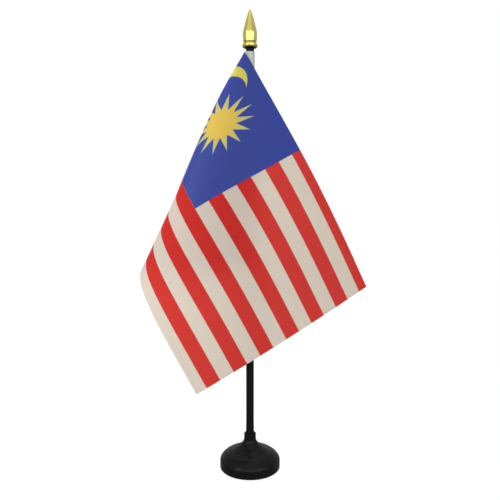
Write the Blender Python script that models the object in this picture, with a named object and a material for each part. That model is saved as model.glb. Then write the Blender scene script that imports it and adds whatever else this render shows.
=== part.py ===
"""Desk flag stand: a weighted round base, a slim pole, a sleeved cloth flag and a spear finial.

Metres, +Z up. The origin is the centre of the base's resting face, on the pole's axis.
The flag hangs from a vertical hoist line beside the pole, runs out to -X, rolls over at the
fold and comes back across the front of the pole (-Y) towards +X.
"""

import math

import bmesh
import bpy
from mathutils import Quaternion, Vector

# ---- driving dimensions -------------------------------------------------------------------
GAP = 0.0003                    # clearance between pieces that touch or slide

BASE_RADIUS = 0.0213
BASE_RIM_Z = 0.0008             # the shell's rim hangs this far above the desk
BASE_RIM_CHAMFER = 0.0006
BASE_WALL_TOP_Z = 0.0070
SHOULDER_CENTRE_R = 0.0080
SHOULDER_TOP_Z = 0.0139
SHOULDER_POWER = 1.9            # 2 is an ellipse, less is flatter towards the neck
NECK_FOOT_R = 0.0115
NECK_FOOT_Z = 0.0137
NECK_TOP_Z = 0.0206
NECK_TOP_R = 0.00435
NECK_POWER = 1.9                # 1 is a straight cone
COLLAR_R = 0.0042
COLLAR_TOP_Z = 0.0256
COLLAR_ROUND = 0.0004
SHELL_WALL = 0.0015
SOCKET_TUBE_R = 0.0045
SOCKET_TUBE_END_Z = 0.0036

PAD_RADIUS = 0.0192
PAD_THICKNESS = 0.0012
PLATE_THICKNESS = 0.0014
PLATE_BEVEL = 0.0003
BALLAST_RADIUS = 0.0174
BALLAST_TOP_Z = 0.0076
BALLAST_BEVEL = 0.0005

POLE_R = 0.0025
POLE_FOOT_R = 0.00272
POLE_FLARE_LENGTH = 0.0110
TENON_R = 0.0016
TENON_LENGTH = 0.0072

SLEEVE_TOP_Z = 0.2900
SLEEVE_BORE_R = 0.00285
SLEEVE_R = 0.0033
SLEEVE_FIN = 0.00130            # how far the stitched edge stands out past the round part
SLEEVE_FIN_POWER = 20
SLEEVE_SIDES = 40

FINIAL_BOTTOM_Z = 0.2926
FINIAL_BOTTOM_R = 0.0031
FINIAL_BEAD_Z = 0.2942          # the bead is widest here
FINIAL_BEAD_R = 0.0052
FINIAL_BEAD_TOP_Z = 0.2957
FINIAL_GROOVE_R = 0.0040
FINIAL_GROOVE_TOP_Z = 0.2960
FINIAL_BARREL_FOOT_R = 0.0045
FINIAL_BARREL_FOOT_Z = 0.2973
FINIAL_BARREL_Z = 0.3014        # the barrel is widest here
FINIAL_BARREL_R = 0.0048
FINIAL_CONE_Z = 0.3042
FINIAL_CONE_R = 0.0045
FINIAL_CONE_MID_Z = 0.3094
FINIAL_CONE_MID_R = 0.0031
FINIAL_TIP_Z = 0.3179
FINIAL_TIP_R = 0.0007
FINIAL_BEVEL = 0.0003

FLAG_HEIGHT = 0.140             # along the hoist
FLAG_LENGTH = 0.185             # along the fly, from the sleeve's seam
FLAG_THICKNESS = 0.0003
SEAM_RADIUS = 0.0050            # distance of the hoist line from the pole's axis
SEAM_AZIMUTH = 235.0            # degrees from +X, anticlockwise from above

# The flag is a rolled cone of cloth, so it keeps its flat size. Its straight lines fan out
# from a point a little above the top hoist corner, from the hoist line (angle 0) to the top
# edge (angle 90). It sets off at ROLL_HEADING and turns back over one rounded fold.
ROLL_APEX_RISE = 0.003
ROLL_HEADING = 145.0            # degrees from +X, anticlockwise from above
FOLD_ANGLE = 29.0               # degrees from the hoist line to the middle of the fold
FOLD_TIGHTNESS = 12.5           # curvature at the fold, for cloth one unit from the apex
FOLD_SPREAD_IN = 6.0            # degrees over which the curvature rises
FOLD_SPREAD_OUT = 7.0           # degrees over which it falls
ROLL_STEPS = 360

# The cloth also gives a little: the free side bows out and the fold swells.
BOW_SPAN = 0.190
BOW_X = 0.0030
BOW_Z = 0.0012
SWELL_SPAN = 0.110
SWELL_X = 0.0022

FLAG_ROWS = 22
ROLL_COLUMNS = 20               # columns that follow the straight lines, up to ROLL_END
ROLL_END = 46.0
FREE_COLUMNS = 16               # columns from there to the fly edge
FREE_COLUMN_POWER = 1.6         # they start close together and spread out

STITCH_THREAD_R = 0.00012
STITCH_PITCH = 0.0028
STITCH_WAVE = 0.00012
STITCH_POINTS_PER_PITCH = 2

ROUND_STEPS = 48


# ---- helpers --------------------------------------------------------------------------------
def clear_objects():
    for obj in list(bpy.data.objects):
        bpy.data.objects.remove(obj, do_unlink=True)


def material(name, colour, roughness, metallic=0.0):
    mat = bpy.data.materials.new(name)
    mat.use_nodes = True
    shader = mat.node_tree.nodes["Principled BSDF"]
    shader.inputs["Base Color"].default_value = (*colour, 1.0)
    shader.inputs["Roughness"].default_value = roughness
    shader.inputs["Metallic"].default_value = metallic
    mat.diffuse_color = (*colour, 1.0)
    return mat


def add_object(name, bm, mat, parent, smooth_angle=35.0):
    """Turn a bmesh into a named object under its body's empty."""
    bmesh.ops.recalc_face_normals(bm, faces=bm.faces)
    mesh = bpy.data.meshes.new(name)
    bm.to_mesh(mesh)
    bm.free()
    mesh.shade_smooth()
    mesh.set_sharp_from_angle(angle=math.radians(smooth_angle))
    mesh.materials.append(mat)
    obj = bpy.data.objects.new(name, mesh)
    bpy.context.collection.objects.link(obj)
    place_under(obj, parent)
    return obj


def place_under(obj, parent):
    """Parent without moving: the mesh holds world positions, the empty holds the joint's place."""
    obj.parent = parent
    obj.matrix_parent_inverse = parent.matrix_world.inverted()


def empty(name, location, parent=None):
    node = bpy.data.objects.new(name, None)
    node.location = location
    bpy.context.collection.objects.link(node)
    bpy.context.view_layer.update()
    if parent:
        place_under(node, parent)
        bpy.context.view_layer.update()
    return node


def turned(profile, closed=False, steps=ROUND_STEPS):
    """Spin (radius, z) points about Z. An open profile starts and ends on the axis."""
    bm = bmesh.new()
    verts = [bm.verts.new((r, 0.0, z)) for r, z in profile]
    pairs = list(zip(verts, verts[1:]))
    if closed:
        pairs.append((verts[-1], verts[0]))
    edges = [bm.edges.new(pair) for pair in pairs]
    bmesh.ops.spin(bm, geom=verts + edges, cent=(0, 0, 0), axis=(0, 0, 1),
                   angle=2 * math.pi, steps=steps, use_merge=True)
    bmesh.ops.remove_doubles(bm, verts=bm.verts, dist=1e-6)
    return bm


def arc(centre_r, centre_z, radius, start, end, count, height=None):
    """Points on an arc from start to end degrees, both ends included.

    height makes it part of an ellipse, this tall from its centre."""
    height = radius if height is None else height
    angles = [math.radians(start + (end - start) * i / count) for i in range(count + 1)]
    return [(centre_r + radius * math.cos(a), centre_z + height * math.sin(a)) for a in angles]


def bevelled_disc(radius, bottom, top, bevel, bore=0.0):
    """Profile of a disc, or of a ring when it has a bore."""
    outer = [(radius - bevel, bottom), (radius, bottom + bevel),
             (radius, top - bevel), (radius - bevel, top)]
    if bore:
        return outer + [(bore + bevel, top), (bore, top - bevel),
                        (bore, bottom + bevel), (bore + bevel, bottom)]
    return [(0.0, bottom)] + outer + [(0.0, top)]


# ---- base -----------------------------------------------------------------------------------
def shoulder(radius, wall_top, top, centre_r, count, end_r):
    """Rounded shoulder from the top of the wall in towards the neck, stopping at end_r."""
    width, height = radius - centre_r, top - wall_top
    power = 2.0 / SHOULDER_POWER
    points = []
    for i in range(count + 1):
        angle = 0.5 * math.pi * i / count
        r = centre_r + width * math.cos(angle) ** power
        if r > end_r:
            points.append((r, wall_top + height * math.sin(angle) ** power))
    return points


def neck(foot_r, foot_z, top_r, top_z, count):
    """Concave flare that rises from the dome to the collar."""
    points = []
    for i in range(count + 1):
        share = i / count
        points.append((top_r + (foot_r - top_r) * (1 - share) ** NECK_POWER,
                       foot_z + (top_z - foot_z) * share))
    return points


def shell_profile():
    """Closed (radius, z) loop of the hollow dome with its socket tube."""
    outer = [(BASE_RADIUS - BASE_RIM_CHAMFER, BASE_RIM_Z),
             (BASE_RADIUS, BASE_RIM_Z + BASE_RIM_CHAMFER)]
    outer += shoulder(BASE_RADIUS, BASE_WALL_TOP_Z, SHOULDER_TOP_Z, SHOULDER_CENTRE_R, 12,
                      NECK_FOOT_R + 0.0002)
    outer += neck(NECK_FOOT_R, NECK_FOOT_Z, NECK_TOP_R, NECK_TOP_Z, 10)
    outer += [(COLLAR_R, NECK_TOP_Z + 0.0002)]
    outer += arc(COLLAR_R - COLLAR_ROUND, COLLAR_TOP_Z - COLLAR_ROUND, COLLAR_ROUND, 0, 90, 3)

    bore_r = POLE_FOOT_R + GAP
    socket = [(bore_r, COLLAR_TOP_Z), (bore_r, SOCKET_TUBE_END_Z),
              (SOCKET_TUBE_R, SOCKET_TUBE_END_Z)]

    roof_drop = SHELL_WALL
    inner_r = BASE_RADIUS - SHELL_WALL
    roof = shoulder(inner_r, BASE_WALL_TOP_Z, SHOULDER_TOP_Z - roof_drop, SHOULDER_CENTRE_R, 8,
                    SOCKET_TUBE_R + 0.0005)
    inner = [(SOCKET_TUBE_R, SHOULDER_TOP_Z - roof_drop)] + roof[::-1] + [(inner_r, BASE_RIM_Z)]
    return outer + socket + inner


def make_base(parent):
    black = material("glossy_black_plastic", (0.022, 0.022, 0.022), 0.28)
    dull = material("dull_black_plastic", (0.03, 0.03, 0.03), 0.6)
    steel = material("plated_steel", (0.55, 0.55, 0.54), 0.4, 1.0)
    foam = material("black_foam_rubber", (0.03, 0.03, 0.03), 0.9)

    add_object("base_shell", turned(shell_profile(), closed=True), black, parent)

    plate_bottom = PAD_THICKNESS + GAP
    plate_top = plate_bottom + PLATE_THICKNESS
    add_object("base_plate", turned(bevelled_disc(PAD_RADIUS, plate_bottom, plate_top,
                                                  PLATE_BEVEL)), dull, parent)
    add_object("non_slip_pad", turned([(0.0, 0.0), (PAD_RADIUS, 0.0),
                                       (PAD_RADIUS, PAD_THICKNESS), (0.0, PAD_THICKNESS)]),
               foam, parent)
    ballast_bore = SOCKET_TUBE_R + GAP
    add_object("ballast_weight", turned(bevelled_disc(BALLAST_RADIUS, plate_top + GAP,
                                                      BALLAST_TOP_Z, BALLAST_BEVEL,
                                                      ballast_bore), closed=True),
               steel, parent)
    return plate_top


# ---- pole and finial ------------------------------------------------------------------------
def make_pole(parent, foot_z):
    black = material("pole_black_plastic", (0.022, 0.022, 0.022), 0.3)
    shoulder_z = FINIAL_BOTTOM_Z - GAP
    profile = [(0.0, foot_z), (POLE_FOOT_R - 0.0003, foot_z), (POLE_FOOT_R, foot_z + 0.0003),
               (POLE_FOOT_R, COLLAR_TOP_Z),
               (POLE_R, COLLAR_TOP_Z + POLE_FLARE_LENGTH),
               (POLE_R, shoulder_z - 0.0002), (POLE_R - 0.0002, shoulder_z),
               (TENON_R, shoulder_z),
               (TENON_R, shoulder_z + TENON_LENGTH - 0.0003),
               (TENON_R - 0.0003, shoulder_z + TENON_LENGTH), (0.0, shoulder_z + TENON_LENGTH)]
    return add_object("pole", turned(profile, steps=32), black, parent)


def make_finial(parent):
    gold = material("gold_plating", (0.80, 0.60, 0.18), 0.18, 1.0)
    bore_r = TENON_R + GAP
    bore_top = FINIAL_BOTTOM_Z + TENON_LENGTH
    bevel = FINIAL_BEVEL
    profile = [(0.0, bore_top), (bore_r, bore_top), (bore_r, FINIAL_BOTTOM_Z)]
    profile += arc(FINIAL_BOTTOM_R, FINIAL_BEAD_Z, FINIAL_BEAD_R - FINIAL_BOTTOM_R, -90, 0, 6,
                   height=FINIAL_BEAD_Z - FINIAL_BOTTOM_Z)
    profile += arc(FINIAL_GROOVE_R, FINIAL_BEAD_Z, FINIAL_BEAD_R - FINIAL_GROOVE_R, 0, 90, 5,
                   height=FINIAL_BEAD_TOP_Z - FINIAL_BEAD_Z)[1:]
    profile += [(FINIAL_GROOVE_R, FINIAL_GROOVE_TOP_Z),
                (FINIAL_BARREL_FOOT_R, FINIAL_BARREL_FOOT_Z),
                (FINIAL_BARREL_R, FINIAL_BARREL_Z),
                (FINIAL_BARREL_R, FINIAL_BARREL_Z + bevel),
                (FINIAL_CONE_R, FINIAL_CONE_Z),
                (FINIAL_CONE_MID_R, FINIAL_CONE_MID_Z)]
    profile += arc(0.0, FINIAL_TIP_Z - FINIAL_TIP_R, FINIAL_TIP_R, 17, 90, 5)
    profile[-1] = (0.0, FINIAL_TIP_Z)
    return add_object("spear_finial", turned(profile, steps=40), gold, parent)


# ---- flag -----------------------------------------------------------------------------------
def fold_curvature(degrees):
    spread = FOLD_SPREAD_IN if degrees < FOLD_ANGLE else FOLD_SPREAD_OUT
    return FOLD_TIGHTNESS / (1 + ((degrees - FOLD_ANGLE) / spread) ** 2)


def roll_directions():
    """Directions of the cloth's straight lines, one for each step from 0 to 90 degrees."""
    heading_angle = math.radians(ROLL_HEADING)
    direction = Vector((0, 0, -1))
    heading = Vector((math.cos(heading_angle), math.sin(heading_angle), 0))
    step = 90.0 / ROLL_STEPS
    directions = [direction.copy()]
    for i in range(ROLL_STEPS):
        turn = direction.cross(heading) - direction * fold_curvature((i + 0.5) * step)
        rotation = Quaternion(turn.normalized(), turn.length * math.radians(step))
        direction = rotation @ direction
        heading = rotation @ heading
        directions.append(direction.copy())
    return directions


def roll_direction(directions, angle):
    place = math.degrees(angle) * ROLL_STEPS / 90.0
    i = min(int(place), ROLL_STEPS - 1)
    return directions[i].lerp(directions[i + 1], place - i)


def ease(x):
    x = min(max(x, 0.0), 1.0)
    return x * x * (3 - 2 * x)


def flag_point(u, v, directions):
    """Place of the cloth point u along the fly and v down from the top edge."""
    down = v + ROLL_APEX_RISE
    reach = math.hypot(u, down)
    angle = math.atan2(u, down)
    seam = math.radians(SEAM_AZIMUTH)
    apex = Vector((SEAM_RADIUS * math.cos(seam), SEAM_RADIUS * math.sin(seam),
                   SLEEVE_TOP_Z + ROLL_APEX_RISE))
    point = apex + reach * roll_direction(directions, angle)
    free_side = ease((angle - 0.70) / 0.87)
    fold = ease(angle / 0.45) * (1 - ease((angle - 0.55) / 0.60))
    bow = math.sin(math.pi * reach / BOW_SPAN) * free_side
    swell = math.sin(math.pi * min(reach / SWELL_SPAN, 1.0)) * fold
    return point + Vector((BOW_X * bow - SWELL_X * swell, 0, BOW_Z * bow))


def column_places(v):
    """Distances along the fly of one row's points: along the roll, then on to the fly edge."""
    down = v + ROLL_APEX_RISE
    roll = [down * math.tan(math.radians(ROLL_END * i / ROLL_COLUMNS))
            for i in range(ROLL_COLUMNS + 1)]
    rest = FLAG_LENGTH - roll[-1]
    return roll + [roll[-1] + rest * (i / FREE_COLUMNS) ** FREE_COLUMN_POWER
                   for i in range(1, FREE_COLUMNS + 1)]


def make_flag_cloth(parent):
    """One sheet of points, thickened equally to both sides."""
    cloth = material("printed_polyester", (0.55, 0.10, 0.08), 0.75)
    directions = roll_directions()
    bm = bmesh.new()
    grid = []
    for j in range(FLAG_ROWS + 1):
        v = FLAG_HEIGHT * j / FLAG_ROWS
        grid.append([bm.verts.new(flag_point(u, v, directions)) for u in column_places(v)])
    for upper, lower in zip(grid, grid[1:]):
        for i in range(len(upper) - 1):
            bm.faces.new((upper[i], lower[i], lower[i + 1], upper[i + 1]))
    obj = add_object("flag_cloth", bm, cloth, parent, smooth_angle=60.0)
    thicken = obj.modifiers.new("thickness", "SOLIDIFY")
    thicken.thickness = FLAG_THICKNESS
    thicken.offset = 0.0
    return obj


def sleeve_radius(angle_from_seam):
    """Outer radius of the teardrop sleeve at an angle from its stitched edge."""
    return SLEEVE_R + SLEEVE_FIN * max(0.0, math.cos(angle_from_seam)) ** SLEEVE_FIN_POWER


def make_sleeve(parent):
    white = material("white_polyester", (0.62, 0.63, 0.58), 0.8)
    bm = bmesh.new()
    bottom_z = SLEEVE_TOP_Z - FLAG_HEIGHT
    rings = {}
    for z in (bottom_z, SLEEVE_TOP_Z):
        outer, inner = [], []
        for i in range(SLEEVE_SIDES):
            turn = 2 * math.pi * i / SLEEVE_SIDES
            angle = math.radians(SEAM_AZIMUTH) + turn
            radius = sleeve_radius(turn)
            outer.append(bm.verts.new((radius * math.cos(angle), radius * math.sin(angle), z)))
            inner.append(bm.verts.new((SLEEVE_BORE_R * math.cos(angle),
                                       SLEEVE_BORE_R * math.sin(angle), z)))
        rings[z] = (outer, inner)
    (low_out, low_in), (top_out, top_in) = rings[bottom_z], rings[SLEEVE_TOP_Z]
    for i in range(SLEEVE_SIDES):
        k = (i + 1) % SLEEVE_SIDES
        bm.faces.new((low_out[i], low_out[k], top_out[k], top_out[i]))
        bm.faces.new((low_in[k], low_in[i], top_in[i], top_in[k]))
        bm.faces.new((low_in[i], low_in[k], low_out[k], low_out[i]))
        bm.faces.new((top_out[i], top_out[k], top_in[k], top_in[i]))
    return add_object("flag_sleeve", bm, white, parent)


def make_stitching(parent):
    """One thread that runs down the seam in small waves, just off the sleeve's edge."""
    thread = material("white_thread", (0.75, 0.75, 0.72), 0.7)
    start = SLEEVE_TOP_Z - 0.002
    length = FLAG_HEIGHT - 0.004
    count = int(length / STITCH_PITCH) * STITCH_POINTS_PER_PITCH
    lean = math.radians(SEAM_AZIMUTH + 22.0)
    radius = sleeve_radius(math.radians(22.0)) + GAP + STITCH_THREAD_R + STITCH_WAVE
    curve = bpy.data.curves.new("sleeve_stitching", "CURVE")
    curve.dimensions = "3D"
    curve.bevel_depth = STITCH_THREAD_R
    curve.bevel_resolution = 1
    curve.use_fill_caps = True
    curve.render_resolution_u = 0
    spline = curve.splines.new("POLY")
    spline.points.add(count)
    for i in range(count + 1):
        wave = STITCH_WAVE * (-1) ** i
        z = start - length * i / count
        spline.points[i].co = ((radius + wave) * math.cos(lean),
                               (radius + wave) * math.sin(lean), z, 1.0)
    curve.materials.append(thread)
    obj = bpy.data.objects.new("sleeve_stitching", curve)
    bpy.context.collection.objects.link(obj)
    place_under(obj, parent)
    return obj


# ---- assembly -------------------------------------------------------------------------------
def main():
    clear_objects()
    base = empty("base_body", (0, 0, 0))
    plate_top = make_base(base)
    pole_foot_z = plate_top + GAP
    pole_body = empty("pole_body", (0, 0, pole_foot_z), base)
    make_pole(pole_body, pole_foot_z)
    flag_body = empty("flag_body", (0, 0, SLEEVE_TOP_Z), pole_body)
    make_flag_cloth(flag_body)
    make_sleeve(flag_body)
    make_stitching(flag_body)
    finial_body = empty("finial_body", (0, 0, FINIAL_BOTTOM_Z), pole_body)
    make_finial(finial_body)


main()
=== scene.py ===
"""Looks of the desk flag stand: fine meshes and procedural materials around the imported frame.

Metres in the CAD's frame: +Z up along the pole, the flag's front towards -Y, its free corner
towards +X. The print's lengths are millimetres on the flat flag.
"""

import math

import bmesh
import bpy
import numpy as np
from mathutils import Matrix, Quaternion, Vector, noise


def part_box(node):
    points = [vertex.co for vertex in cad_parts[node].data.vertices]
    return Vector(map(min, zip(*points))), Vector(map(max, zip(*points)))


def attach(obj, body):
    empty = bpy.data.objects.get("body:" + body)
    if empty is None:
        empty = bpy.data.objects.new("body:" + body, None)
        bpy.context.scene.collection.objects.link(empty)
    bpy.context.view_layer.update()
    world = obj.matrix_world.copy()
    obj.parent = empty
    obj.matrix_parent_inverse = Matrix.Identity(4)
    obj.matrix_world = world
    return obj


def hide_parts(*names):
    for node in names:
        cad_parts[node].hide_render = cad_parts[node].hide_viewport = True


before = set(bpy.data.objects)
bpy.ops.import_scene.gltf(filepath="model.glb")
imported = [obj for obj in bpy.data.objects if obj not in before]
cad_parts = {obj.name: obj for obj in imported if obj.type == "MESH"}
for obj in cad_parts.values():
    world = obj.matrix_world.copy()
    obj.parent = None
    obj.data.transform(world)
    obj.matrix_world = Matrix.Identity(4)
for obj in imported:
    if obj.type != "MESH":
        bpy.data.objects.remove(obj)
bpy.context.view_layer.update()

# ---- the flag's shape, as in the CAD ---------------------------------------------------------
FLAG_HEIGHT = 0.140             # along the hoist
FLAG_LENGTH = 0.185             # along the fly
SEAM_RADIUS = 0.0050            # hoist line's distance from the pole's axis
SEAM_AZIMUTH = 235.0            # degrees from +X, anticlockwise from above
SLEEVE_TOP_Z = 0.2900
ROLL_APEX_RISE = 0.003          # the straight lines fan out from this far above the corner
ROLL_HEADING = 145.0
FOLD_ANGLE = 29.0
FOLD_TIGHTNESS = 12.5
FOLD_SPREAD_IN = 6.0
FOLD_SPREAD_OUT = 7.0
ROLL_STEPS = 360
BOW_SPAN = 0.190
BOW_X = 0.0030                  # the free half bows out by this
BOW_Z = 0.0012
BOW_START = 0.70                # radians round the fan of straight lines
BOW_GROWTH = 0.87
SWELL_SPAN = 0.110
SWELL_X = 0.0022                # the fold's outer side swells by this
SWELL_GROWTH = 0.45
SWELL_END = 0.55
SWELL_FADE = 0.60
CORNER_X = 0.0011               # the sewn corner at the top is pulled towards the pole
CORNER_DROP = 0.0005
CORNER_SPAN = 0.034
WAVE_HEIGHT = 0.00045           # broad waves in the cloth
WAVES_ALONG = 26.0
WAVES_DOWN = 14.0
WAVE_SEED = 3.7
WAVE_START = 0.020              # they grow over this distance from the hoist line
PUCKER_HEIGHT = 0.00010
PUCKER_REACH = 0.005

CLOTH_THICKNESS = 0.00022
PROBE_STEP = 0.0005             # for the slope of the cloth at a point
FLAG_ROWS = 140
ROLL_COLUMNS = 84
ROLL_END = 46.0
FREE_COLUMNS = 84
FREE_COLUMN_POWER = 1.35

# ---- the sleeve and its stitching ------------------------------------------------------------
WRAP_RADIUS = 0.00305           # middle of the cloth round the pole
SEAM_TIP_RADIUS = 0.0041        # where the wrap's two sides meet
SEAM_BEND = SEAM_RADIUS - SEAM_TIP_RADIUS
HEM_WIDTH = 0.0042              # flap that is sewn to the flag's reverse
HEM_CLIP = 0.0004               # its width at the top, where the corner is clipped
HEM_CLIP_SLOPE = 0.20
STITCH_LINE = 0.0019            # from the hoist line
STITCH_PITCH = 0.0026
STITCH_LENGTH = 0.0021
STITCH_INSET = 0.001            # from the sleeve's ends
STITCH_STEPS = 8
STITCH_ARCH = 1.3               # thread radii that a stitch rises
STITCH_DIP = 0.5                # thread radii that its ends sink
THREAD_RADIUS = 0.00011
THREAD_SIDES = 8
FRONT_LAYERS = 0.45             # cloth thicknesses from the flag's middle to the thread
HEM_LAYERS = 1.6                # the same on the side where the hem flap lies
HEM_GAP = 1.12                  # cloth thicknesses from the flag's middle to the flap's
SEAM_GAP = 0.55                 # the same for half of the gap between the seam's layers
SLEEVE_ROWS = 140
SIDE_STEPS = 6
WRAP_STEPS = 56
BEND_STEPS = 8
HEM_STEPS = 10
LOOSE_START_R = 0.0030          # beyond this radius the stitches pull at the sleeve
LOOSE_SPAN = 0.0006
SLEEVE_PUCKER = 0.00003
CREASE_DEPTH = 0.00006
CREASES_ROUND = 400.0
CREASES_DOWN = 150.0

# ---- the print, in millimetres on the flat flag ----------------------------------------------
STRIPES = 14
TOP_STRIPE_SHARE = 0.65         # of a full stripe that shows at the top edge
BOTTOM_STRIPE_SHARE = 0.76
STRIPE_PITCH = 1000 * FLAG_HEIGHT / (STRIPES - 2 + TOP_STRIPE_SHARE + BOTTOM_STRIPE_SHARE)
CANTON_LENGTH = 77.0
CANTON_STRIPES = 8
INK_EDGE = 0.30                 # width of the ink's soft edge
STAR_SQUEEZE = 0.74             # printed width over drawn width
STAR_SKEW = 0.137               # shift along the fly for each unit down
STAR_CENTRE = (37.5, 35.9)
STAR_RADIUS = 22.8
STAR_POINTS = 14
STAR_INNER = 0.47
STAR_TURN = 2.6                 # degrees
RAY_PALE_START = 9.5            # the ink thins out from here to the rays' tips
CRESCENT_SQUEEZE = 0.56
CRESCENT_SKEW = 0.30
CRESCENT_CENTRE = (22.2, 33.5)
CRESCENT_RADIUS = 27.4
CRESCENT_BITE_CENTRE = (27.0, 34.3)
CRESCENT_BITE_RADIUS = 24.6

# ---- the finial ------------------------------------------------------------------------------
FINIAL_BOTTOM_Z, FINIAL_TIP_Z = (corner.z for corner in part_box("spear_finial"))
FINIAL_BORE_R = 0.0019
FINIAL_BORE_DEPTH = 0.0072
FINIAL_CHAMFER = 0.0002
FINIAL_FOOT_R = 0.0031
BEAD_R = 0.0052
BEAD_Z = 0.2942
BEAD_TOP_Z = 0.2956
GROOVE_R = 0.0040
GROOVE_STEP = 0.0001
# radius and height of the barrel, from the groove up to the cone
BARREL = ((0.00444, 0.2968), (0.00455, 0.2971), (0.00461, 0.2977), (0.00466, 0.2989),
          (0.00472, 0.3000), (0.00476, 0.3010), (0.00476, 0.3020), (0.00474, 0.3030))
CONE_R = 0.00469
CONE_Z = 0.3032
CONE_SWELL = 0.00022            # how far the cone's side bulges
CONE_STEPS = 24
TIP_R = 0.0007
TIP_START = 25                  # degrees round the tip where its round part starts
CONE_END_DEPTH = 0.8            # tip radii from the top to the end of the cone's side
UNDERSIDE_SHADE_HEIGHT = 0.0002        # painted shade: the finial's underside is coloured dark up to this height
UNDERSIDE_SHADE_FADE = 0.0006

# ---- the pole and the base -------------------------------------------------------------------
POLE_R = 0.00272
POLE_FOOT_R = 0.00285
POLE_EDGE = 0.0003
POLE_FLARE = 0.011              # the foot tapers to the pole over this height
POLE_FLARE_STEPS = 12
POLE_RINGS = 40
POLE_RINGS_START = 0.013        # above the collar
POLE_RINGS_END = 0.001          # below the shoulder
POLE_TOP_GAP = 0.0003           # from the pole's shoulder to the finial
TENON_R = 0.0016
EDGE_RING = 0.0001              # a ring this near a rounded edge keeps the flat beside it flat

RIM_EDGE = 0.0006
WALL_TOP_Z = 0.0062
DOME_TOP_Z = 0.0141
DOME_CENTRE_R = 0.0080
DOME_POWER = 1.78               # 2 is an ellipse, 1 is a straight slope
DOME_STEPS = 36
NECK_FOOT_R = 0.0120
NECK_FOOT_Z = 0.0139
NECK_TOP_R = 0.00445
NECK_TOP_Z = 0.0207
NECK_POWER = 1.65               # 1 is a straight cone
NECK_BLEND = 0.0003             # left free between the neck and what it joins
NECK_STEPS = 18
COLLAR_R = 0.0042
COLLAR_EDGE = 0.0004
SHELL_WALL = 0.0015
ROOF_STEPS = 20
ROOF_END_R = 0.0050
SOCKET_R = 0.00302
SOCKET_CHAMFER = 0.0002
SOCKET_TUBE_R = 0.0045
SOCKET_TUBE_END_Z = 0.0036

# ---- the stage -------------------------------------------------------------------------------
FLOOR_RADIUS = 4.0
FLOOR_Z = -0.0002
ROOM_LIGHT = 0.50
CAMERA_PLACE = (0.0, -0.393, 0.192)
CAMERA_TILT = 0.09              # radians below the horizon
CAMERA_LENS = 40.97
CAMERA_SENSOR = 36.0


# ---- helpers ---------------------------------------------------------------------------------
def add_object(name, data):
    obj = bpy.data.objects.new(name, data)
    bpy.context.scene.collection.objects.link(obj)
    return obj


def lathe(name, profile, segments, sharp, closed=False):
    """Turn (radius, z) points about Z. An open profile starts and ends on the axis."""
    bm = bmesh.new()
    verts = [bm.verts.new((r, 0.0, z)) for r, z in profile]
    pairs = list(zip(verts, verts[1:]))
    if closed:
        pairs.append((verts[-1], verts[0]))
    edges = [bm.edges.new(pair) for pair in pairs]
    bmesh.ops.spin(bm, geom=verts + edges, cent=(0, 0, 0), axis=(0, 0, 1),
                   angle=2 * math.pi, steps=segments, use_merge=True)
    bmesh.ops.remove_doubles(bm, verts=bm.verts, dist=1e-7)
    bmesh.ops.recalc_face_normals(bm, faces=bm.faces)
    mesh = bpy.data.meshes.new(name)
    bm.to_mesh(mesh)
    bm.free()
    mesh.shade_smooth()
    mesh.set_sharp_from_angle(angle=math.radians(sharp))
    return add_object(name, mesh)


def arc(centre_r, centre_z, radius, start, end, count, height=None):
    """Points on an arc, both ends included. height makes it part of an ellipse."""
    height = radius if height is None else height
    angles = [math.radians(start + (end - start) * i / count) for i in range(count + 1)]
    return [(centre_r + radius * math.cos(a), centre_z + height * math.sin(a)) for a in angles]


def plan(azimuth, radius=1.0):
    """Unit or scaled horizontal vector at an azimuth in degrees."""
    a = math.radians(azimuth)
    return Vector((radius * math.cos(a), radius * math.sin(a), 0.0))


def ease(x):
    """Smooth step from 0 to 1."""
    x = min(max(x, 0.0), 1.0)
    return x * x * (3 - 2 * x)


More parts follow.
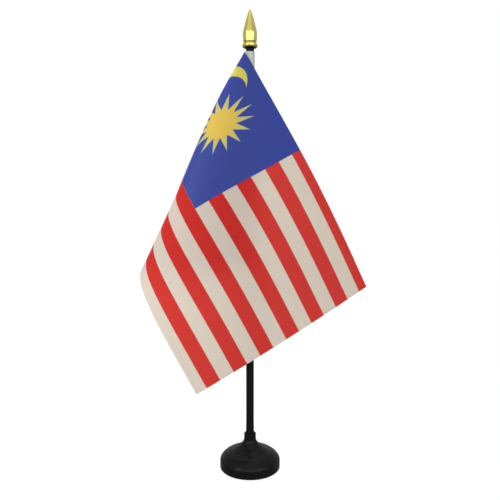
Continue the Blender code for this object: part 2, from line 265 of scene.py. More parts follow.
# ---- shader helpers --------------------------------------------------------------------------
class Nodes:
    """Short calls that add nodes to one material's tree."""

    def __init__(self, name):
        self.material = bpy.data.materials.new(name)
        self.material.use_nodes = True
        self.tree = self.material.node_tree
        self.shader = self.tree.nodes["Principled BSDF"]
        self.output = self.tree.nodes["Material Output"]

    def node(self, kind, **settings):
        made = self.tree.nodes.new(kind)
        for key, value in settings.items():
            setattr(made, key, value)
        return made

    def put(self, socket, value):
        if isinstance(value, bpy.types.NodeSocket):
            self.tree.links.new(value, socket)
        elif isinstance(value, (tuple, list)) and len(value) == 3 and socket.type == "RGBA":
            socket.default_value = (*value, 1.0)
        else:
            socket.default_value = value

    def math(self, operation, a, b=0.0, clamp=False):
        made = self.node("ShaderNodeMath", operation=operation, use_clamp=clamp)
        self.put(made.inputs[0], a)
        self.put(made.inputs[1], b)
        return made.outputs[0]

    def mix(self, share, a, b):
        made = self.node("ShaderNodeMix", data_type="RGBA")
        self.put(made.inputs["Factor"], share)
        self.put(made.inputs["A"], a)
        self.put(made.inputs["B"], b)
        return made.outputs["Result"]

    def noise(self, scale, detail, vector):
        made = self.node("ShaderNodeTexNoise")
        made.inputs["Scale"].default_value = scale
        made.inputs["Detail"].default_value = detail
        self.put(made.inputs["Vector"], vector)
        return made.outputs["Fac"]

    def spread(self, value, low=0.0, high=1.0, start=0.35, end=0.65):
        """Map a value from start..end to low..high. The usual start and end suit a noise."""
        made = self.node("ShaderNodeMapRange")
        self.put(made.inputs["Value"], value)
        made.inputs["From Min"].default_value = start
        made.inputs["From Max"].default_value = end
        made.inputs["To Min"].default_value = low
        made.inputs["To Max"].default_value = high
        return made.outputs["Result"]

    def place(self, scale=(1, 1, 1)):
        """Object position in metres, stretched by scale."""
        coords = self.node("ShaderNodeTexCoord")
        made = self.node("ShaderNodeMapping")
        made.inputs["Scale"].default_value = scale
        self.put(made.inputs["Vector"], coords.outputs["Object"])
        return made.outputs["Vector"]

    def bump(self, height, distance, strength):
        made = self.node("ShaderNodeBump")
        made.inputs["Strength"].default_value = strength
        made.inputs["Distance"].default_value = distance
        self.put(made.inputs["Height"], height)
        return made.outputs["Normal"]

    def set(self, **values):
        names = {"colour": "Base Color", "roughness": "Roughness", "metallic": "Metallic",
                 "specular": "Specular IOR Level", "sheen": "Sheen Weight", "normal": "Normal"}
        for key, value in values.items():
            self.put(self.shader.inputs[names[key]], value)


# ---- cloth materials -------------------------------------------------------------------------
RED = (0.690, 0.001, 0.000)
WHITE = (0.755, 0.695, 0.622)
BLUE = (0.001, 0.040, 0.395)
STAR_YELLOW = (0.850, 0.640, 0.080)
STAR_RAY_TIP = (0.520, 0.680, 0.400)
CRESCENT_YELLOW = (0.780, 0.720, 0.120)
INK_THROUGH = 0.42              # how much paler the cloth is with light behind it
BLUE_THROUGH = 0.08             # the canton carries the thickest ink
PLAIN_GLOSS = 0.02
BLUE_GLOSS = 0.33
CLOTH_ROUGHNESS = 0.42
FLAG_THROUGH = 0.46             # share of the light that passes through
SLEEVE_THROUGH = 0.30
REVERSE_INK = 0.95              # how much of the print shows on the flag's reverse
WEAVE_PITCH = 0.00030
WEAVE_DEPTH = 0.00003
WEAVE_STRENGTH = 0.50


def soft_step(n, distance):
    """1 where the distance in millimetres is positive, 0 where it is negative."""
    return n.math("ADD", n.math("DIVIDE", distance, INK_EDGE), 0.5, clamp=True)


def flat_place(n):
    """The place on the flat cloth in metres: the whole vector, and split into its parts."""
    flat = n.node("ShaderNodeUVMap", uv_map="flat_cloth").outputs[0]
    parts = n.node("ShaderNodeSeparateXYZ")
    n.put(parts.inputs[0], flat)
    return flat, parts


def ellipse(n, u, v, centre, radius, squeeze, skew):
    """A skewed ellipse, squeezed along the fly: how far inside it a point is, in millimetres,
    and the point's place and reach from the centre before the squeeze."""
    y = n.math("SUBTRACT", v, centre[1])
    along = n.math("SUBTRACT", n.math("SUBTRACT", u, centre[0]), n.math("MULTIPLY", y, skew))
    x = n.math("DIVIDE", along, squeeze)
    reach = n.math("SQRT", n.math("ADD", n.math("MULTIPLY", x, x), n.math("MULTIPLY", y, y)))
    return n.math("SUBTRACT", radius, reach), x, y, reach


def star(n, u, v):
    """How far inside the many-pointed star a point is, in millimetres, and its reach."""
    _, x, y, reach = ellipse(n, u, v, STAR_CENTRE, STAR_RADIUS, STAR_SQUEEZE, STAR_SKEW)
    half = math.pi / STAR_POINTS
    angle = n.math("ADD", n.math("ARCTAN2", x, y), math.radians(STAR_TURN) + 4 * math.pi)
    turn = n.math("PINGPONG", angle, half)
    inner_x, inner_y = STAR_INNER * math.cos(half) - 1, STAR_INNER * math.sin(half)
    length = math.hypot(inner_x, inner_y)
    along = n.math("SUBTRACT", n.math("MULTIPLY", reach, n.math("COSINE", turn)), STAR_RADIUS)
    aside = n.math("MULTIPLY", reach, n.math("SINE", turn))
    outside = n.math("SUBTRACT", n.math("MULTIPLY", along, inner_y / length),
                     n.math("MULTIPLY", aside, inner_x / length))
    return n.math("MULTIPLY", outside, -1.0), reach


def printed_colour(n, strength):
    """The flag's print from the flat place on the cloth, and where it is blue.

    strength is how much ink shows."""
    flat, parts = flat_place(n)
    u = n.math("MULTIPLY", parts.outputs["X"], 1000.0)
    v = n.math("MULTIPLY", parts.outputs["Y"], 1000.0)

    stripe = n.math("ADD", n.math("DIVIDE", v, STRIPE_PITCH), 1 - TOP_STRIPE_SHARE)
    wave = n.math("SINE", n.math("MULTIPLY", stripe, math.pi))
    is_red = soft_step(n, n.math("MULTIPLY", wave, STRIPE_PITCH / math.pi))
    before_end = soft_step(n, n.math("SUBTRACT", CANTON_LENGTH, u))
    above = n.math("SUBTRACT", CANTON_STRIPES, stripe)
    above_edge = soft_step(n, n.math("MULTIPLY", above, STRIPE_PITCH))
    is_blue = n.math("MULTIPLY", before_end, above_edge)
    shape = CRESCENT_SQUEEZE, CRESCENT_SKEW
    disc = ellipse(n, u, v, CRESCENT_CENTRE, CRESCENT_RADIUS, *shape)[0]
    bite = ellipse(n, u, v, CRESCENT_BITE_CENTRE, CRESCENT_BITE_RADIUS, *shape)[0]
    is_crescent = n.math("SUBTRACT", soft_step(n, disc), soft_step(n, bite), clamp=True)

    colour = n.mix(is_red, WHITE, RED)
    colour = n.mix(is_blue, colour, BLUE)
    colour = n.mix(is_crescent, colour, CRESCENT_YELLOW)
    in_star, star_reach = star(n, u, v)
    thin = n.spread(star_reach, 0.0, 1.0, RAY_PALE_START, STAR_RADIUS)
    colour = n.mix(soft_step(n, in_star), colour, n.mix(thin, STAR_YELLOW, STAR_RAY_TIP))
    blotch = n.spread(n.noise(90.0, 4.0, flat), 0.0, 0.005)
    colour = n.mix(blotch, colour, WHITE)
    return n.mix(1.0 - strength, colour, WHITE), is_blue, parts


def weave(n, parts):
    """Height of a plain weave: warp and weft threads pass over each other in turn."""
    across = n.math("MULTIPLY", parts.outputs["X"], 2 * math.pi / WEAVE_PITCH)
    down = n.math("MULTIPLY", parts.outputs["Y"], 2 * math.pi / WEAVE_PITCH)
    return n.math("MULTIPLY", n.math("SINE", across), n.math("SINE", down))


def cloth_shader(n, colour, height, through, gloss=PLAIN_GLOSS, paler=INK_THROUGH):
    """Woven polyester: a soft surface that lets part of the light through."""
    normal = n.bump(height, WEAVE_DEPTH, WEAVE_STRENGTH)
    n.set(colour=colour, roughness=CLOTH_ROUGHNESS, specular=gloss, normal=normal)
    back = n.node("ShaderNodeBsdfTranslucent")
    n.put(back.inputs["Color"], n.mix(paler, colour, WHITE))
    n.put(back.inputs["Normal"], normal)
    blend = n.node("ShaderNodeMixShader")
    blend.inputs["Fac"].default_value = through
    n.put(blend.inputs[1], n.shader.outputs[0])
    n.put(blend.inputs[2], back.outputs[0])
    n.put(n.output.inputs["Surface"], blend.outputs[0])
    return n.material


def print_material(name, strength):
    n = Nodes(name)
    colour, is_blue, parts = printed_colour(n, strength)
    gloss = n.spread(is_blue, PLAIN_GLOSS, BLUE_GLOSS, 0.0, 1.0)
    paler = n.spread(is_blue, INK_THROUGH, BLUE_THROUGH, 0.0, 1.0)
    return cloth_shader(n, colour, weave(n, parts), FLAG_THROUGH, gloss, paler)


def sleeve_material():
    n = Nodes("sleeve_polyester")
    parts = flat_place(n)[1]
    blotch = n.spread(n.noise(300.0, 3.0, n.place()))
    tint = n.mix(blotch, (0.71, 0.74, 0.69), (0.66, 0.69, 0.64))
    return cloth_shader(n, tint, weave(n, parts), SLEEVE_THROUGH)


def thread_material():
    n = Nodes("spun_thread")
    twist = n.noise(9000.0, 2.0, n.place())
    colour = n.mix(n.spread(twist), (0.78, 0.78, 0.74), (0.66, 0.66, 0.62))
    n.set(colour=colour, roughness=0.6, sheen=0.2, normal=n.bump(twist, 0.00002, 0.5))
    return n.material


# ---- hard materials --------------------------------------------------------------------------
def moulded_black(name, tone, roughness, texture, specular):
    """Injection-moulded black plastic: faint flow marks, fine scuffs and a little dust."""
    n = Nodes(name)
    flow = n.noise(120.0, 3.0, n.place((1, 1, 0.3)))
    scuff = n.noise(1400.0, 4.0, n.place((1, 1, 0.12)))
    dust = n.spread(n.noise(2600.0, 2.0, n.place()), 0.0, 0.35, 0.62, 0.74)
    grain = n.noise(1800.0, 3.0, n.place())
    plain = n.mix(n.spread(flow), (tone, tone, tone), (tone * 1.35, tone * 1.35, tone * 1.3))
    n.set(colour=n.mix(n.math("MULTIPLY", dust, 0.12), plain, (0.12, 0.12, 0.11)),
          roughness=n.spread(scuff, roughness - 0.05, roughness + 0.09),
          specular=specular, normal=n.bump(grain, 0.00001, texture))
    return n.material


def gold_material():
    """Bright plating over the whole finial, with painted shade: its underside is coloured near
    black.
    """
    n = Nodes("gold_plating")
    height = n.node("ShaderNodeSeparateXYZ")
    n.put(height.inputs[0], n.place())
    # painted shade: below this band the gold fades to a near black colour, standing in for the
    # shadow under the bead
    low = FINIAL_BOTTOM_Z + UNDERSIDE_SHADE_HEIGHT
    unshaded = n.spread(height.outputs["Z"], 0.0, 1.0, low, low + UNDERSIDE_SHADE_FADE)
    cloud = n.spread(n.noise(180.0, 3.0, n.place()))
    gold = n.mix(cloud, (0.88, 0.78, 0.23), (0.84, 0.73, 0.19))
    rub = n.noise(1500.0, 4.0, n.place((1, 1, 0.25)))
    unevenness = n.noise(400.0, 2.0, n.place())
    n.set(colour=n.mix(unshaded, (0.030, 0.022, 0.006), gold), metallic=1.0,
          roughness=n.spread(rub, 0.14, 0.20), normal=n.bump(unevenness, 0.00002, 0.3))
    return n.material


def steel_material():
    n = Nodes("zinc_plated_steel")
    brush = n.noise(500.0, 5.0, n.place((1, 1, 12)))
    n.set(colour=n.mix(n.spread(brush), (0.50, 0.50, 0.49), (0.60, 0.60, 0.58)),
          metallic=1.0, roughness=n.spread(brush, 0.32, 0.5), normal=n.bump(brush, 0.00001, 0.4))
    return n.material


def foam_material():
    n = Nodes("foam_rubber")
    cells = n.node("ShaderNodeTexVoronoi")
    cells.inputs["Scale"].default_value = 2600.0
    n.put(cells.inputs["Vector"], n.place())
    pores = cells.outputs["Distance"]
    colour = n.mix(n.spread(pores, 0.0, 1.0, 0.1, 0.6), (0.012, 0.012, 0.012),
                   (0.040, 0.040, 0.040))
    n.set(colour=colour, roughness=0.92, specular=0.2, normal=n.bump(pores, 0.00008, 0.8))
    return n.material


# ---- flag ------------------------------------------------------------------------------------
def fold_curvature(degrees):
    """How sharply the roll turns at an angle of the fan: a peak at the fold."""
    spread = FOLD_SPREAD_IN if degrees < FOLD_ANGLE else FOLD_SPREAD_OUT
    return FOLD_TIGHTNESS / (1 + ((degrees - FOLD_ANGLE) / spread) ** 2)


def roll_directions():
    """Directions of the cloth's straight lines, one for each step from 0 to 90 degrees."""
    direction = Vector((0, 0, -1))
    heading = plan(ROLL_HEADING)
    step = 90.0 / ROLL_STEPS
    directions = [direction.copy()]
    for i in range(ROLL_STEPS):
        turn = direction.cross(heading) - direction * fold_curvature((i + 0.5) * step)
        rotation = Quaternion(turn.normalized(), turn.length * math.radians(step))
        direction = rotation @ direction
        heading = rotation @ heading
        directions.append(direction.copy())
    return directions


DIRECTIONS = roll_directions()


def roll_direction(angle):
    """Direction of the straight line at an angle in radians from the hoist line."""
    place = math.degrees(angle) * ROLL_STEPS / 90.0
    i = min(int(place), ROLL_STEPS - 1)
    return DIRECTIONS[i].lerp(DIRECTIONS[i + 1], place - i)


def rolled_point(u, v):
    """Place of the cloth point u along the fly and v down from the top edge."""
    down = v + ROLL_APEX_RISE
    reach = math.hypot(u, down)
    angle = math.atan2(u, down)
    apex = plan(SEAM_AZIMUTH, SEAM_RADIUS) + Vector((0, 0, SLEEVE_TOP_Z + ROLL_APEX_RISE))
    point = apex + reach * roll_direction(angle)
    free_half = ease((angle - BOW_START) / BOW_GROWTH)
    fold = ease(angle / SWELL_GROWTH) * (1 - ease((angle - SWELL_END) / SWELL_FADE))
    bow = math.sin(math.pi * reach / BOW_SPAN) * free_half
    swell = math.sin(math.pi * min(reach / SWELL_SPAN, 1.0)) * fold
    corner = 1 - ease(reach / CORNER_SPAN)
    return point + Vector((BOW_X * bow - SWELL_X * swell + CORNER_X * corner, 0,
                           BOW_Z * bow - CORNER_DROP * corner))


def flag_point(u, v):
    """As rolled_point, with the first stretch bent round into the sleeve's seam."""
    if u >= SEAM_BEND:
        return rolled_point(u, v)
    turn = 90.0 * (1 - u / SEAM_BEND)
    tip = plan(SEAM_AZIMUTH, SEAM_TIP_RADIUS)
    centre = tip + plan(ROLL_HEADING, SEAM_BEND)
    bent = centre + plan(SEAM_AZIMUTH + turn, SEAM_BEND)
    end = rolled_point(SEAM_BEND, v)
    start = rolled_point(0.0, v)
    return Vector((bent.x, bent.y, start.z + (end.z - start.z) * u / SEAM_BEND))


def ripple(u, v):
    """How far the cloth stands off its ideal roll: the seam's puckers, and broad waves."""
    wave = WAVE_HEIGHT * noise.noise(Vector((u * WAVES_ALONG, v * WAVES_DOWN, WAVE_SEED)))
    near_seam = math.exp(-max(u - STITCH_LINE, 0.0) / PUCKER_REACH) * ease(u / STITCH_LINE)
    pucker = PUCKER_HEIGHT * math.sin(2 * math.pi * v / STITCH_PITCH) * near_seam
    return wave * ease(u / WAVE_START) + pucker


def column_places(v):
    """Places along the fly of one row's points: even turns through the fold, then wider steps."""
    down = v + ROLL_APEX_RISE
    roll = [down * math.tan(math.radians(ROLL_END * i / ROLL_COLUMNS))
            for i in range(ROLL_COLUMNS + 1)]
    rest = FLAG_LENGTH - roll[-1]
    return roll + [roll[-1] + rest * (i / FREE_COLUMNS) ** FREE_COLUMN_POWER
                   for i in range(1, FREE_COLUMNS + 1)]


def grid_normals(points):
    across = np.gradient(points, axis=1)
    down = np.gradient(points, axis=0)
    normal = np.cross(across, down)
    return normal / np.linalg.norm(normal, axis=2, keepdims=True)


def sheet_mesh(name, points, flat, thickness, materials):
    """Closed thin sheet from a grid of middle points: two skins and a rim, with flat places.

    points and flat are arrays of rows by columns. materials are for the two skins."""
    rows, columns = points.shape[:2]
    normal = grid_normals(points)
    front = points + normal * thickness / 2
    back = points - normal * thickness / 2
    count = rows * columns
    verts = np.concatenate([front.reshape(-1, 3), back.reshape(-1, 3)])
    index = np.arange(count).reshape(rows, columns)
    a, b = index[:-1, :-1], index[:-1, 1:]
    c, d = index[1:, 1:], index[1:, :-1]
    skin = np.stack([a, b, c, d], -1).reshape(-1, 4)
    other = np.stack([a, d, c, b], -1).reshape(-1, 4) + count
    border = np.concatenate([index[0, :-1], index[:-1, -1], index[-1, :0:-1], index[:0:-1, 0]])
    following = np.roll(border, -1)
    rim = np.stack([following, border, border + count, following + count], -1)
    faces = np.concatenate([skin, other, rim])
    mesh = bpy.data.meshes.new(name)
    mesh.from_pydata(verts.tolist(), [], faces.tolist())
    layer = mesh.uv_layers.new(name="flat_cloth")
    places = np.concatenate([flat.reshape(-1, 2)] * 2)
    layer.data.foreach_set("uv", places[faces.reshape(-1)].astype(np.float32).reshape(-1))
    for material in materials:
        mesh.materials.append(material)
    slots = np.zeros(len(faces), np.int32)
    slots[len(skin):len(skin) + len(other)] = len(materials) - 1
    mesh.polygons.foreach_set("material_index", slots)
    mesh.shade_smooth()
    mesh.set_sharp_from_angle(angle=math.radians(60))
    mesh.update()
    return add_object(name, mesh)


def make_flag():
    points = np.zeros((FLAG_ROWS + 1, ROLL_COLUMNS + FREE_COLUMNS + 1, 3))
    flat = np.zeros(points.shape[:2] + (2,))
    off = np.zeros(points.shape[:2])
    for j in range(FLAG_ROWS + 1):
        v = FLAG_HEIGHT * j / FLAG_ROWS
        for i, u in enumerate(column_places(v)):
            points[j, i] = flag_point(u, v)
            flat[j, i] = u, v
            off[j, i] = ripple(u, v)
    points += grid_normals(points) * off[..., None]
    prints = [print_material("flag_print", 1.0), print_material("flag_reverse", REVERSE_INK)]
    obj = sheet_mesh("flag_sheet", points, flat, CLOTH_THICKNESS, prints)
    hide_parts("flag_cloth")
    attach(obj, "flag")
    return obj


# ---- sleeve and stitching --------------------------------------------------------------------
def sleeve_path():
    """Plan points of the cloth's middle, from the flag's edge round the pole to the hem's edge."""
    tip = plan(SEAM_AZIMUTH, SEAM_TIP_RADIUS)
    spread = math.degrees(math.acos(WRAP_RADIUS / SEAM_TIP_RADIUS))
    layer = CLOTH_THICKNESS * SEAM_GAP
    first, last = SEAM_AZIMUTH - spread, SEAM_AZIMUTH - 360 + spread
    path = [tip.lerp(plan(first, WRAP_RADIUS), i / SIDE_STEPS) for i in range(SIDE_STEPS)]
    path += [plan(first + (last - first) * i / WRAP_STEPS, WRAP_RADIUS)
             for i in range(WRAP_STEPS + 1)]
    outer_tip = tip - plan(ROLL_HEADING, layer) * 2
    path += [path[-1].lerp(outer_tip, i / SIDE_STEPS) for i in range(1, SIDE_STEPS + 1)]
    centre = tip + plan(ROLL_HEADING, SEAM_BEND)
    path += [centre + plan(SEAM_AZIMUTH + 90 - 90 * i / BEND_STEPS, SEAM_BEND + 2 * layer)
             for i in range(1, BEND_STEPS)]
    return path


def hem_width(v):
    """The hem flap's corner is clipped at the top, where the roll is too tight for it."""
    return min(HEM_WIDTH, HEM_CLIP + v * HEM_CLIP_SLOPE)


def wrapped_place(p, v):
    """Place of the sleeve's path point p at depth v, with creases and the stitches' pull."""
    radius = math.hypot(p.x, p.y)
    z = SLEEVE_TOP_Z - v
    crease = CREASE_DEPTH * noise.noise(Vector((p.x * CREASES_ROUND, p.y * CREASES_ROUND,
                                                z * CREASES_DOWN)))
    loose = ease((radius - LOOSE_START_R) / LOOSE_SPAN)
    pull = SLEEVE_PUCKER * math.sin(2 * math.pi * v / STITCH_PITCH) * loose
    grow = 1 + (crease + pull) / radius
    return Vector((p.x * grow, p.y * grow, z))


def reverse_side(u, v):
    """Place on the rippled cloth near the seam, the way out on the hem's side, the way down."""
    here = rolled_point(u, v)
    ahead = rolled_point(u + PROBE_STEP, v) - here
    below = rolled_point(u, v + PROBE_STEP) - here
    normal = ahead.cross(below).normalized()
    outward = normal if normal.dot(plan(SEAM_AZIMUTH)) > 0 else -normal
    return here + normal * ripple(u, v), outward, below.normalized()


def make_sleeve():
    path = sleeve_path()
    points = np.zeros((SLEEVE_ROWS + 1, len(path) + HEM_STEPS + 1, 3))
    flat = np.zeros(points.shape[:2] + (2,))
    for j in range(SLEEVE_ROWS + 1):
        v = FLAG_HEIGHT * j / SLEEVE_ROWS
        wrapped = [wrapped_place(p, v) for p in path]
        run = 0.0
        for i, place in enumerate(wrapped):
            run += (place - wrapped[max(i - 1, 0)]).length
            points[j, i] = place
            flat[j, i] = -run, v
        for k in range(HEM_STEPS + 1):
            along = hem_width(v) * k / HEM_STEPS
            place, outward, _ = reverse_side(SEAM_BEND + along, v)
            points[j, len(path) + k] = place + outward * CLOTH_THICKNESS * HEM_GAP
            flat[j, len(path) + k] = -run - along, v
    obj = sheet_mesh("sleeve_sheet", points, flat, CLOTH_THICKNESS, [sleeve_material()])
    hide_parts("flag_sleeve")
    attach(obj, "flag")
    return obj


def stitch_rings(start, face):
    """Centre, run and outward direction of each ring of a stitch's thread.

    face is 1 on the side where the hem lies and -1 on the other."""
    layers = HEM_LAYERS if face > 0 else FRONT_LAYERS
    rings = []
    for i in range(STITCH_STEPS + 1):
        share = i / STITCH_STEPS
        place, outward, down = reverse_side(STITCH_LINE, start + STITCH_LENGTH * share)
        arch = STITCH_ARCH * math.sin(math.pi * share) - STITCH_DIP
        lift = CLOTH_THICKNESS * layers + THREAD_RADIUS * arch
        rings.append((place + outward * face * lift, down, outward))
    return rings


def add_thread(verts, faces, rings):
    """Add a round thread with closed ends through the rings."""
    base = len(verts)
    for centre, down, outward in rings:
        across = down.cross(outward).normalized()
        for q in range(THREAD_SIDES):
            a = 2 * math.pi * q / THREAD_SIDES
            verts.append(centre + THREAD_RADIUS * (math.cos(a) * across + math.sin(a) * outward))
    for i in range(len(rings) - 1):
        this, following = base + i * THREAD_SIDES, base + (i + 1) * THREAD_SIDES
        for q in range(THREAD_SIDES):
            r = (q + 1) % THREAD_SIDES
            faces.append((this + q, this + r, following + r, following + q))
    end = base + (len(rings) - 1) * THREAD_SIDES
    faces.append(tuple(base + q for q in reversed(range(THREAD_SIDES))))
    faces.append(tuple(end + q for q in range(THREAD_SIDES)))


def make_stitching():
    """Lockstitches on both faces of the seam: each one dips into the cloth at its ends."""
    count = int((FLAG_HEIGHT - 2 * STITCH_INSET) / STITCH_PITCH)
    verts, faces = [], []
    for face, shift in ((-1, 0.0), (1, 0.5)):
        for k in range(count):
            start = STITCH_INSET + STITCH_PITCH * (k + shift)
            add_thread(verts, faces, stitch_rings(start, face))
    mesh = bpy.data.meshes.new("seam_lockstitches")
    mesh.from_pydata(verts, [], faces)
    mesh.validate()
    mesh.shade_smooth()
    obj = add_object("seam_lockstitches", mesh)
    obj.data.materials.append(thread_material())
    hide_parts("sleeve_stitching")
    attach(obj, "flag")


# ---- finial, pole and base -------------------------------------------------------------------
def make_finial():
    low = FINIAL_BOTTOM_Z
    bore_top = low + FINIAL_BORE_DEPTH
    profile = [(0.0, bore_top), (FINIAL_BORE_R, bore_top), (FINIAL_BORE_R, low + FINIAL_CHAMFER),
               (FINIAL_BORE_R + FINIAL_CHAMFER, low)]
    profile += arc(FINIAL_FOOT_R, BEAD_Z, BEAD_R - FINIAL_FOOT_R, -90, 0, 14, height=BEAD_Z - low)
    profile += arc(GROOVE_R, BEAD_Z, BEAD_R - GROOVE_R, 0, 90, 12, height=BEAD_TOP_Z - BEAD_Z)[1:]
    profile += [(GROOVE_R + GROOVE_STEP, BEAD_TOP_Z + GROOVE_STEP), *BARREL]
    top_z = FINIAL_TIP_Z - TIP_R * CONE_END_DEPTH
    for i in range(CONE_STEPS + 1):
        share = i / CONE_STEPS
        swell = CONE_SWELL * math.sin(math.pi * share)
        profile.append((CONE_R + (TIP_R - CONE_R) * share + swell,
                        CONE_Z + (top_z - CONE_Z) * share))
    profile += arc(0.0, FINIAL_TIP_Z - TIP_R, TIP_R, TIP_START, 90, 6)[:-1]
    profile.append((0.0, FINIAL_TIP_Z))
    obj = lathe("gold_spear", profile, 96, sharp=25.0)
    obj.data.materials.append(gold_material())
    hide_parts("spear_finial")
    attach(obj, "finial")


def make_pole():
    low, high = (corner.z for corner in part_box("pole"))
    collar_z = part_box("base_shell")[1].z
    shoulder = FINIAL_BOTTOM_Z - POLE_TOP_GAP
    profile = [(0.0, low), (POLE_FOOT_R - POLE_EDGE - EDGE_RING, low)]
    profile += arc(POLE_FOOT_R - POLE_EDGE, low + POLE_EDGE, POLE_EDGE, -90, 0, 4)
    profile += [(POLE_FOOT_R, collar_z)]
    for i in range(1, POLE_FLARE_STEPS + 1):
        share = i / POLE_FLARE_STEPS
        profile.append((POLE_FOOT_R + (POLE_R - POLE_FOOT_R) * ease(share),
                        collar_z + POLE_FLARE * share))
    first, last = collar_z + POLE_RINGS_START, shoulder - POLE_RINGS_END
    profile += [(POLE_R, first + (last - first) * i / POLE_RINGS) for i in range(POLE_RINGS + 1)]
    profile += arc(POLE_R - POLE_EDGE, shoulder - POLE_EDGE, POLE_EDGE, 0, 90, 4)
    profile += [(TENON_R, shoulder), (TENON_R, high - POLE_EDGE)]
    profile += arc(TENON_R - POLE_EDGE, high - POLE_EDGE, POLE_EDGE, 0, 90, 4)
    profile.append((0.0, high))
    obj = lathe("pole_rod", profile, 48, sharp=35.0)
    obj.data.materials.append(moulded_black("pole_plastic", tone=0.006, roughness=0.42,
                                            texture=0.25, specular=0.08))
    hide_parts("pole")
    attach(obj, "pole")


def dome(radius, top, end_r, count):
    """Rounded shoulder from the top of the wall in towards the neck, stopping at end_r."""
    width, height = radius - DOME_CENTRE_R, top - WALL_TOP_Z
    points = []
    for i in range(count + 1):
        angle = 0.5 * math.pi * i / count
        r = DOME_CENTRE_R + width * math.cos(angle) ** (2 / DOME_POWER)
        if r > end_r:
            points.append((r, WALL_TOP_Z + height * math.sin(angle) ** (2 / DOME_POWER)))
    return points


def neck():
    """Concave flare that rises from the dome to the collar."""
    points = []
    for i in range(NECK_STEPS + 1):
        share = i / NECK_STEPS
        points.append((NECK_TOP_R + (NECK_FOOT_R - NECK_TOP_R) * (1 - share) ** NECK_POWER,
                       NECK_FOOT_Z + (NECK_TOP_Z - NECK_FOOT_Z) * share))
    return points


def make_base():
    low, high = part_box("base_shell")
    radius, rim_z, collar_z = high.x, low.z, high.z
    profile = arc(radius - RIM_EDGE, rim_z + RIM_EDGE, RIM_EDGE, -90, 0, 5)
    profile += dome(radius, DOME_TOP_Z, NECK_FOOT_R + NECK_BLEND, DOME_STEPS)
    profile += neck()
    profile += [(COLLAR_R, NECK_TOP_Z + NECK_BLEND)]
    profile += arc(COLLAR_R - COLLAR_EDGE, collar_z - COLLAR_EDGE, COLLAR_EDGE, 0, 90, 5)
    profile += [(SOCKET_R + SOCKET_CHAMFER, collar_z), (SOCKET_R, collar_z - SOCKET_CHAMFER),
                (SOCKET_R, SOCKET_TUBE_END_Z), (SOCKET_TUBE_R, SOCKET_TUBE_END_Z)]
    roof_z, inner_r = DOME_TOP_Z - SHELL_WALL, radius - SHELL_WALL
    profile += [(SOCKET_TUBE_R, roof_z)]
    profile += dome(inner_r, roof_z, ROOF_END_R, ROOF_STEPS)[::-1]
    profile += [(inner_r, rim_z)]
    obj = lathe("base_dome", profile, 128, sharp=35.0, closed=True)
    obj.data.materials.append(moulded_black("base_plastic", tone=0.006, roughness=0.22,
                                            texture=0.35, specular=0.12))
    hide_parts("base_shell")
    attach(obj, "base")


def dress_hidden_nodes():
    """The ballast, plate and pad keep their CAD meshes and get finished materials."""
    looks = {"ballast_weight": steel_material(), "non_slip_pad": foam_material(),
             "base_plate": moulded_black("plate_plastic", tone=0.022, roughness=0.55,
                                           texture=0.5, specular=0.42)}
    for node, material in looks.items():
        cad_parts[node].data.materials.clear()
        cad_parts[node].data.materials.append(material)


# ---- stage, light and camera -----------------------------------------------------------------
def make_floor():
    """A pale floor that shows nearly white, and lights the object no more than a dull one."""
    bpy.ops.mesh.primitive_circle_add(vertices=96, radius=FLOOR_RADIUS, fill_type="NGON",
                                      location=(0, 0, FLOOR_Z))
    floor = bpy.context.object
    floor.name = "pale_floor"
    n = Nodes("pale_floor")
    ray = n.node("ShaderNodeLightPath").outputs["Is Camera Ray"]
    n.set(colour=n.mix(ray, (0.32, 0.32, 0.32), (0.10, 0.10, 0.10)), roughness=0.9, specular=0.0)
    n.put(n.shader.inputs["Emission Color"], (1.0, 1.0, 1.0))
    n.put(n.shader.inputs["Emission Strength"], n.math("MULTIPLY", ray, 0.95))
    floor.data.materials.append(n.material)


def area_light(name, place, target, size, power, colour=(1, 1, 1)):
    """Rectangular soft box that faces the target."""
    data = bpy.data.lights.new(name, "AREA")
    data.shape = "RECTANGLE"
    data.size, data.size_y = size
    data.energy = power
    data.color = colour
    obj = add_object(name, data)
    obj.location = place
    obj.rotation_euler = (Vector(target) - Vector(place)).to_track_quat("-Z", "Y").to_euler()
    return obj


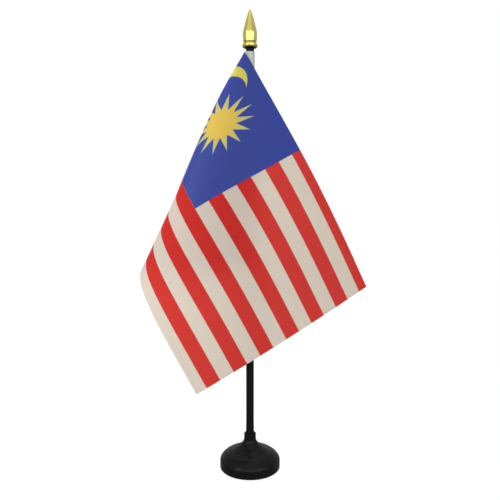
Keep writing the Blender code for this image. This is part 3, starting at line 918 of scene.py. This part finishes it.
def make_light(cloth):
    """A white backdrop for the camera over a dimmer room, with soft boxes.

    Two of them light the cloth alone, because the glossy pieces would show them as streaks."""
    world = bpy.data.worlds.new("studio")
    bpy.context.scene.world = world
    world.use_nodes = True
    tree = world.node_tree
    back = tree.nodes["Background"]
    back.inputs["Color"].default_value = (1.0, 1.0, 1.0, 1.0)
    ray = tree.nodes.new("ShaderNodeLightPath")
    room = tree.nodes.new("ShaderNodeMapRange")
    room.inputs["To Min"].default_value = ROOM_LIGHT
    room.inputs["To Max"].default_value = 1.0
    tree.links.new(ray.outputs["Is Camera Ray"], room.inputs["Value"])
    tree.links.new(room.outputs["Result"], back.inputs["Strength"])
    area_light("front_panel", place=(0.35, -1.20, 0.47), target=(0, 0, 0.30), size=(2.3, 0.95),
               power=11.1, colour=(1.0, 0.985, 0.955))
    area_light("left_panel", place=(-0.85, -0.85, 0.47), target=(0, 0, 0.25), size=(0.53, 0.95),
               power=4.0, colour=(1.0, 0.98, 0.95))
    left_fill = area_light("left_fill", place=(-1.1, -0.45, 0.40), target=(0, 0, 0.20),
                           size=(0.6, 0.9), power=8.4)
    area_light("upper_front", place=(-0.2, -1.05, 1.38), target=(0, 0, 0.25), size=(2.0, 0.7),
               power=1.0)
    area_light("ceiling", place=(0.0, 0.0, 1.5), target=(0, 0, 0), size=(1.6, 1.6), power=4.0)
    backdrop = area_light("backdrop", place=(0.0, 1.3, 0.45), target=(0, 0, 0.20),
                          size=(2.4, 1.3), power=26.0)
    for light in (left_fill, backdrop):
        light.light_linking.receiver_collection = cloth


def make_camera():
    data = bpy.data.cameras.new("view")
    data.sensor_width = CAMERA_SENSOR
    data.lens = CAMERA_LENS
    data.clip_start = 0.01
    camera = add_object("view", data)
    camera.location = CAMERA_PLACE
    camera.rotation_euler = (math.pi / 2 - CAMERA_TILT, 0.0, 0.0)
    bpy.context.scene.camera = camera


def main():
    make_camera()
    make_floor()
    cloth = bpy.data.collections.new("cloth")
    cloth.objects.link(make_flag())
    cloth.objects.link(make_sleeve())
    make_light(cloth)
    make_stitching()
    make_finial()
    make_pole()
    make_base()
    dress_hidden_nodes()
    bpy.context.scene.view_settings.view_transform = "Standard"


main()
